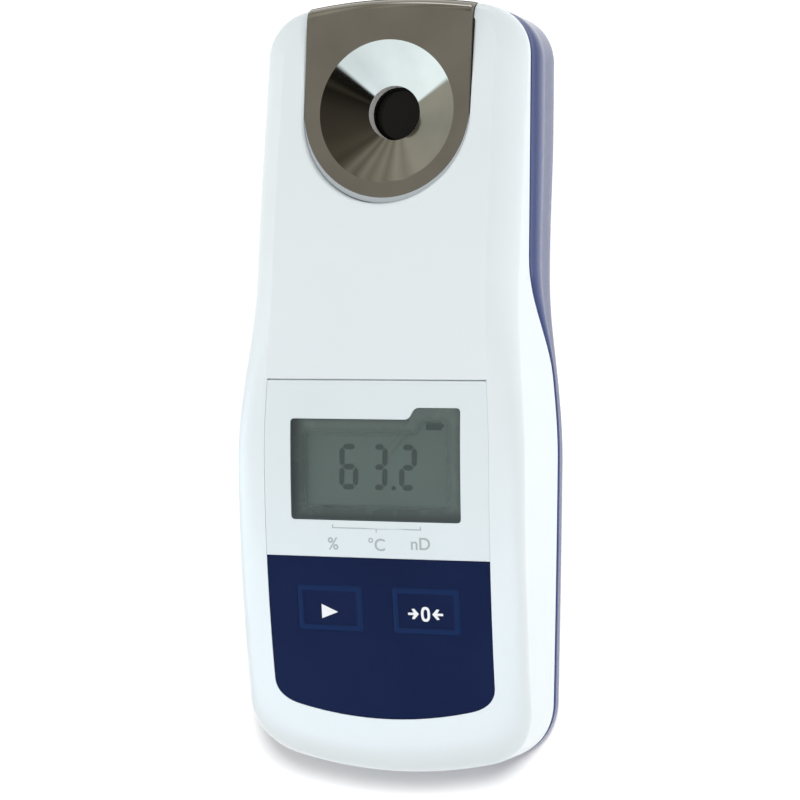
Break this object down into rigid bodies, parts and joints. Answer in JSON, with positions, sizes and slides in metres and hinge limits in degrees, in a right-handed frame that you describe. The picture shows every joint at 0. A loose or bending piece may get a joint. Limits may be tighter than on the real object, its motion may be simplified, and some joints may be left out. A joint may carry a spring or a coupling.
{
  "type": "portable refractometer",
  "caption": "Pocket digital refractometer: crowned white front shell on a blue rear shell, metal sample dish over a prism at the head, display, sprung keys and a battery cover behind.",
  "frame": {"origin": "on the plane that the instrument lies on, under the middle of its case", "axes": "+Z out of the display face, +Y from the keys towards the head with the dish, +X to the right as the display is read"},
  "size_m": [0.057, 0.145, 0.0287],
  "materials": {
    "white_shell": "satin moulded",
    "blue_shell": "satin moulded",
    "label_film": "printed film",
    "navy_film": "printed film",
    "stage_metal": "polished",
    "prism_glass": "polished",
    "window_clear": "polished",
    "display_glass": "polished",
    "black_plastic": "moulded",
    "black_rubber": "moulded",
    "board_green": "lacquered laminate",
    "bright_steel": "plated",
    "brass": "turned",
    "clear_resin": "cast",
    "ribbon_amber": "film",
    "cell_jacket": "printed jacket"
  },
  "bodies": {
    "case_body": {"front_case": "white_shell", "rear_case": "blue_shell", "label_panel": "label_film", "keypad_panel": "navy_film", "sample_stage": "stage_metal", "prism": "prism_glass", "display_window": "window_clear", "lcd_glass": "display_glass", "lcd_holder": "black_plastic", "optics_block": "black_plastic", "switch_start": "black_plastic", "switch_zero": "black_plastic", "processor": "black_plastic", "line_sensor": "black_plastic", "case_gasket": "black_rubber", "prism_seal": "black_rubber", "lcd_connector": "black_rubber", "main_board": "board_green", "light_board": "board_green", "sensor_board": "board_green", "board_screw_1": "bright_steel", "board_screw_2": "bright_steel", "board_screw_3": "bright_steel", "board_screw_4": "bright_steel", "case_screw_1": "bright_steel", "case_screw_2": "bright_steel", "case_screw_3": "bright_steel", "case_screw_4": "bright_steel", "optics_screw_1": "bright_steel", "optics_screw_2": "bright_steel", "contact_plate_1": "bright_steel", "contact_plate_2": "bright_steel", "contact_spring_1": "bright_steel", "contact_spring_2": "bright_steel", "cover_insert": "brass", "light_source": "clear_resin", "temperature_probe": "clear_resin", "ribbon_cable": "ribbon_amber", "battery_cell_1": "cell_jacket", "battery_cell_2": "cell_jacket"},
    "key_start_body": {"key_start": "navy_film", "switch_button_start": "brass"},
    "key_zero_body": {"key_zero": "navy_film", "switch_button_zero": "brass"},
    "cover_body": {"battery_cover": "blue_shell", "cover_seal": "black_rubber"},
    "cover_screw_body": {"cover_screw": "bright_steel"}
  },
  "joints": [
    {"name": "key_start_press", "type": "slide", "parent": "case_body", "child": "key_start_body", "axis": [0, 0, -1], "range_m": [0, 0.0005], "stiffness_N_per_m": 800, "springref_m": -0.0005},
    {"name": "key_zero_press", "type": "slide", "parent": "case_body", "child": "key_zero_body", "axis": [0, 0, -1], "range_m": [0, 0.0005], "stiffness_N_per_m": 800, "springref_m": -0.0005},
    {"name": "cover_lift", "type": "slide", "parent": "case_body", "child": "cover_body", "axis": [0, 0, -1], "range_m": [0, 0.025]},
    {"name": "cover_screw_turn", "type": "hinge", "parent": "cover_body", "child": "cover_screw_body", "pos_m": [0, -0.0067, 0.0003], "axis": [0, 0, 1], "continuous": true}
  ]
}
